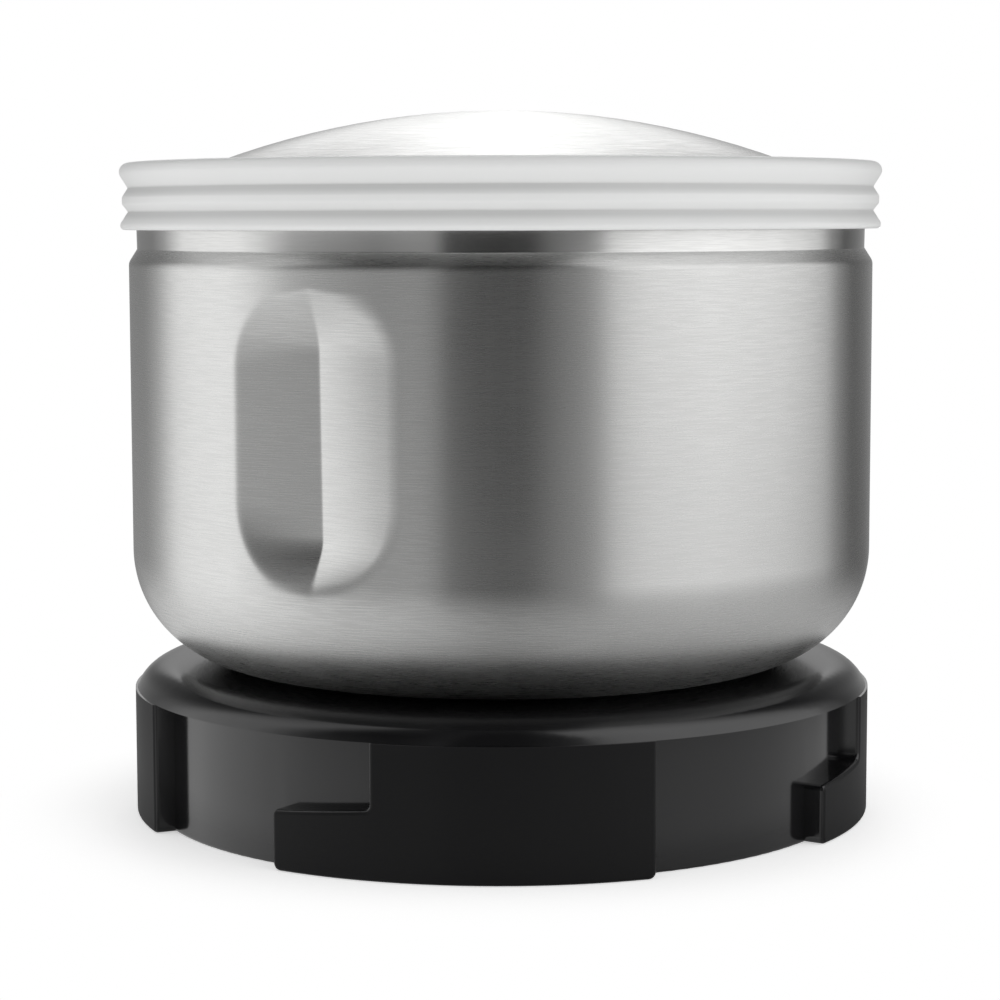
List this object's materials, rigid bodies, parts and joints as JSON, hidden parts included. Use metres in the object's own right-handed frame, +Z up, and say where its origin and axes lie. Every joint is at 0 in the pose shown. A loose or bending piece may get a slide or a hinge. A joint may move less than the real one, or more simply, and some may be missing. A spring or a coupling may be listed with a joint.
{
  "type": "spice grinder bowl with lid",
  "caption": "Removable blade grinder bowl: drawn steel cup with pressed thumb grips, black bayonet collar with drive dog beneath, and a push-on domed storage lid.",
  "frame": {"origin": "centre of the circle that the collar stands on, on the spindle axis at the underside of the collar", "axes": "+Z up along the spindle axis; -Y is the front, which has a bayonet lug at its middle and a thumb grip to its left; +X to the right"},
  "size_m": [0.088, 0.088, 0.0812],
  "materials": {
    "drawn_steel": "stainless sheet, fine brushing round the bowl",
    "dome_steel": "stainless sheet, fine satin",
    "frosted_plastic": "translucent frosted soft plastic",
    "collar_plastic": "black moulded plastic, glossy with finely textured lug faces",
    "seal_rubber": "black moulded rubber",
    "turned_steel": "turned stainless steel",
    "blade_steel": "ground stainless steel",
    "polished_nut": "polished stainless steel",
    "zinc_steel": "zinc plated steel",
    "bush_bronze": "oil-filled sintered bronze",
    "washer_plastic": "natural nylon",
    "dog_plastic": "black glass-filled nylon",
    "insert_brass": "machined brass"
  },
  "bodies": {
    "bowl": {"bowl_shell": "drawn_steel", "base_collar": "collar_plastic", "collar_screws": "zinc_steel", "weld_bosses": "zinc_steel", "base_gasket": "seal_rubber", "bearing_housing": "turned_steel", "housing_gasket": "seal_rubber", "clamp_nut": "zinc_steel", "lower_bush": "bush_bronze", "upper_bush": "bush_bronze", "shaft_seal": "seal_rubber"},
    "rotor": {"drive_shaft": "turned_steel", "blade_spacer": "turned_steel", "blade": "blade_steel", "lock_washer": "turned_steel", "acorn_nut": "polished_nut", "thrust_washer": "washer_plastic", "retaining_clip": "zinc_steel", "drive_dog": "dog_plastic", "dog_insert": "insert_brass"},
    "lid": {"lid_ring": "frosted_plastic", "lid_dome": "dome_steel"}
  },
  "joints": [
    {"name": "blade_spin", "type": "hinge", "parent": "bowl", "child": "rotor", "pos_m": [0, 0, 0.012], "axis": [0, 0, 1], "continuous": true},
    {"name": "lid_lift", "type": "slide", "parent": "bowl", "child": "lid", "axis": [0, 0, 1], "range_m": [0, 0.04]}
  ]
}
